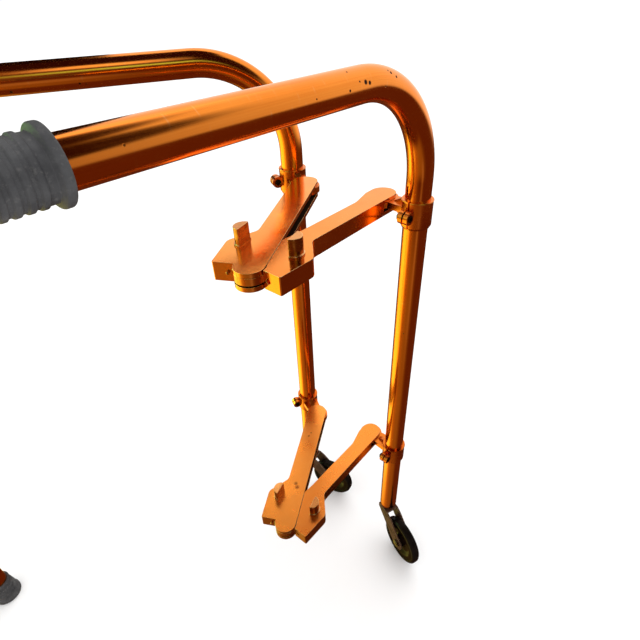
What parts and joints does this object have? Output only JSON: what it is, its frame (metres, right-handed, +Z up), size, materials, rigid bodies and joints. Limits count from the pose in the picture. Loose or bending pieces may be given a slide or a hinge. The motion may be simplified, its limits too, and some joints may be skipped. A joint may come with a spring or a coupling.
{
  "type": "folding front wheeled walker",
  "caption": "Folding walker frame of bent tube: side frames joined by upper and lower folding linkages, swivel casters in front, rubber-tipped legs behind.",
  "frame": {"origin": "on the floor under the middle of the bounding box, in the drawn, partly folded pose", "axes": "+Z up, +Y towards the front, where the casters are, +X towards the right frame"},
  "size_m": [0.4354, 0.5952, 0.7375],
  "materials": {
    "copper_tube": "polished, copper-coloured anodised",
    "copper_casting": "satin, copper-coloured anodised",
    "gold_peg": "polished",
    "zinc_steel": "plated",
    "black_screw": "blackened steel",
    "dark_fork": "dark brown gloss enamel",
    "black_nylon": "moulded",
    "black_tyre": "smooth moulded",
    "grip_rubber": "ribbed",
    "tip_rubber": "moulded"
  },
  "bodies": {
    "left_frame": {"left_frame_tube": "copper_tube", "left_grip": "grip_rubber", "left_rear_tip": "tip_rubber", "left_tip_disc": "zinc_steel", "upper_left_clamp": "copper_casting", "lower_left_clamp": "copper_casting", "left_clamp_screws": "black_screw", "left_clamp_nuts": "black_screw", "left_caster_socket": "black_nylon"},
    "upper_left_arm": {"upper_left_arm": "copper_casting", "upper_left_peg": "gold_peg", "upper_left_pivot_pin": "zinc_steel", "upper_centre_pin": "zinc_steel", "upper_left_washers": "black_nylon", "upper_dowel": "zinc_steel"},
    "upper_right_arm": {"upper_right_arm": "copper_casting", "upper_right_peg": "gold_peg", "upper_right_pivot_pin": "zinc_steel", "upper_right_washer": "black_nylon"},
    "right_frame": {"right_frame_tube": "copper_tube", "right_grip": "grip_rubber", "right_rear_tip": "tip_rubber", "right_tip_disc": "zinc_steel", "upper_right_clamp": "copper_casting", "lower_right_clamp": "copper_casting", "right_clamp_screws": "black_screw", "right_clamp_nuts": "black_screw", "right_caster_socket": "black_nylon"},
    "lower_left_arm": {"lower_left_arm": "copper_casting", "lower_left_peg": "gold_peg", "lower_left_pivot_pin": "zinc_steel", "lower_centre_pin": "zinc_steel", "lower_left_washers": "black_nylon", "lower_dowel": "zinc_steel"},
    "lower_right_arm": {"lower_right_arm": "copper_casting", "lower_right_peg": "gold_peg", "lower_right_pivot_pin": "zinc_steel", "lower_right_washer": "black_nylon"},
    "left_caster": {"left_caster_washer": "zinc_steel", "left_caster_stem": "zinc_steel", "left_caster_fork": "dark_fork", "left_axle": "zinc_steel", "left_axle_nut": "zinc_steel"},
    "left_caster_wheel": {"left_wheel": "black_nylon", "left_tyre": "black_tyre", "left_wheel_bush": "zinc_steel"},
    "right_caster": {"right_caster_washer": "zinc_steel", "right_caster_stem": "zinc_steel", "right_caster_fork": "dark_fork", "right_axle": "zinc_steel", "right_axle_nut": "zinc_steel"},
    "right_caster_wheel": {"right_wheel": "black_nylon", "right_tyre": "black_tyre", "right_wheel_bush": "zinc_steel"}
  },
  "joints": [
    {"name": "upper_centre_hinge", "type": "hinge", "parent": "upper_left_arm", "child": "upper_right_arm", "pos_m": [0.08797, 0.09184, 0.594], "axis": [0, 0, -1], "range_deg": [0, 152]},
    {"name": "upper_left_pivot", "type": "hinge", "parent": "left_frame", "child": "upper_left_arm", "pos_m": [-0.03957, 0.2286, 0.594], "axis": [0, 0, 1], "range_deg": [-0.05, 34.05]},
    {"name": "upper_right_pivot", "type": "hinge", "parent": "upper_right_arm", "child": "right_frame", "pos_m": [0.03957, 0.27247, 0.594], "axis": [0, 0, 1], "range_deg": [-0.05, 92.05]},
    {"name": "lower_left_pivot", "type": "hinge", "parent": "left_frame", "child": "lower_left_arm", "pos_m": [-0.03957, 0.2286, 0.2245], "axis": [0, 0, 1], "range_deg": [-0.05, 34.05]},
    {"name": "lower_centre_hinge", "type": "hinge", "parent": "lower_left_arm", "child": "lower_right_arm", "pos_m": [0.08797, 0.09184, 0.2245], "axis": [0, 0, -1], "range_deg": [-0.05, 152.05]},
    {"name": "left_caster_swivel", "type": "hinge", "parent": "left_frame", "child": "left_caster", "pos_m": [-0.07952, 0.23783, 0.083], "axis": [0, 0, 1], "continuous": true},
    {"name": "left_wheel_spin", "type": "hinge", "parent": "left_caster", "child": "left_caster_wheel", "pos_m": [-0.04087, 0.25668, 0.038], "axis": [-0.4384, 0.8988, 0], "continuous": true},
    {"name": "right_caster_swivel", "type": "hinge", "parent": "right_frame", "child": "right_caster", "pos_m": [0.07952, 0.28169, 0.083], "axis": [0, 0, 1], "continuous": true},
    {"name": "right_wheel_spin", "type": "hinge", "parent": "right_caster", "child": "right_caster_wheel", "pos_m": [0.12228, 0.2772, 0.038], "axis": [0.1045, 0.9945, 0], "continuous": true}
  ],
  "couplings": [
    {"joint": "upper_left_pivot", "follows": "upper_centre_hinge", "ratio": 0.22368},
    {"joint": "upper_right_pivot", "follows": "upper_centre_hinge", "ratio": 0.60526},
    {"joint": "lower_left_pivot", "follows": "upper_centre_hinge", "ratio": 0.22368},
    {"joint": "lower_centre_hinge", "follows": "upper_centre_hinge", "ratio": 1}
  ]
}
